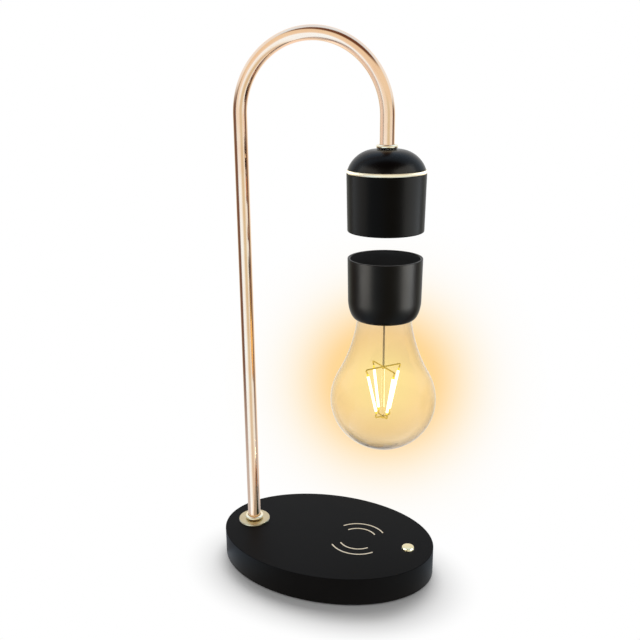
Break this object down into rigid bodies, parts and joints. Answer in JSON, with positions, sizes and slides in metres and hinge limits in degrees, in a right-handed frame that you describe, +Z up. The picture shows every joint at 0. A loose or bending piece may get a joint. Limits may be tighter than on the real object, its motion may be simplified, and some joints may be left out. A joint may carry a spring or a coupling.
{
  "type": "levitating lamp",
  "caption": "Table lamp with an oval charging base, a bent tube arm and a light bulb that floats under a magnet head.",
  "frame": {"origin": "on the table under the middle of the oval base", "axes": "+X along the base's long axis from the post to the button, +Y to the rear where the power socket is, +Z up"},
  "size_m": [0.17, 0.118, 0.4037],
  "materials": {
    "satin_black": "satin",
    "matte_black": "matte",
    "rose_gold": "polished",
    "pale_gold": "polished",
    "steel": "satin",
    "magnet_nickel": "satin",
    "copper_wire": "satin",
    "ferrite": "matte",
    "board_green": "satin",
    "rubber": "matte",
    "cable_sheath": "matte",
    "clear_glass": "gloss",
    "filament": "matte"
  },
  "bodies": {
    "stand": {"base_shell": "satin_black", "base_plate": "matte_black", "foot_1": "rubber", "foot_2": "rubber", "foot_3": "rubber", "foot_4": "rubber", "base_screw_1": "steel", "base_screw_2": "steel", "base_screw_3": "steel", "base_screw_4": "steel", "ballast_plate": "steel", "charging_coil": "copper_wire", "coil_ferrite": "ferrite", "charging_board": "board_green", "power_jack": "matte_black", "switch_housing": "matte_black", "switch_board": "board_green", "arm_tube": "rose_gold", "arm_cable": "cable_sheath", "foot_flange": "pale_gold", "foot_collar": "pale_gold", "post_washer": "steel", "post_nut": "steel", "post_nipple": "steel", "head_collar": "pale_gold", "head_nut": "steel", "head_nipple": "steel", "head_dome": "satin_black", "head_ring": "pale_gold", "head_housing": "satin_black", "transmitter_coil": "copper_wire", "hall_sensor": "matte_black", "magnet_bobbin": "matte_black", "magnet_core": "steel", "magnet_winding": "copper_wire", "holding_magnet": "magnet_nickel", "head_board": "board_green"},
    "button": {"button_cap": "pale_gold", "switch_plunger": "steel"},
    "hover_core": {"bulb_magnet": "magnet_nickel"},
    "bulb": {"bulb_cap": "satin_black", "cap_lid": "matte_black", "magnet_carrier": "matte_black", "receiver_ferrite": "ferrite", "receiver_coil": "copper_wire", "driver_board": "board_green", "bulb_glass": "clear_glass", "stem_holder": "matte_black", "filament_stem": "steel", "glass_rod": "clear_glass", "upper_spider": "pale_gold", "lower_spider": "pale_gold", "filament_1": "filament", "filament_2": "filament", "filament_3": "filament", "filament_4": "filament"}
  },
  "joints": [
    {"name": "button_press", "type": "slide", "parent": "stand", "child": "button", "axis": [0, 0, -1], "range_m": [0, 0.0008], "stiffness_N_per_m": 500, "springref_m": -0.001},
    {"name": "bulb_hover", "type": "slide", "parent": "stand", "child": "hover_core", "axis": [0, 0, 1], "range_m": [-0.03, 0.018], "stiffness_N_per_m": 30, "springref_m": 0.04278},
    {"name": "bulb_spin", "type": "hinge", "parent": "hover_core", "child": "bulb", "pos_m": [0.0442, 0, 0.2465], "axis": [0, 0, 1], "continuous": true}
  ]
}
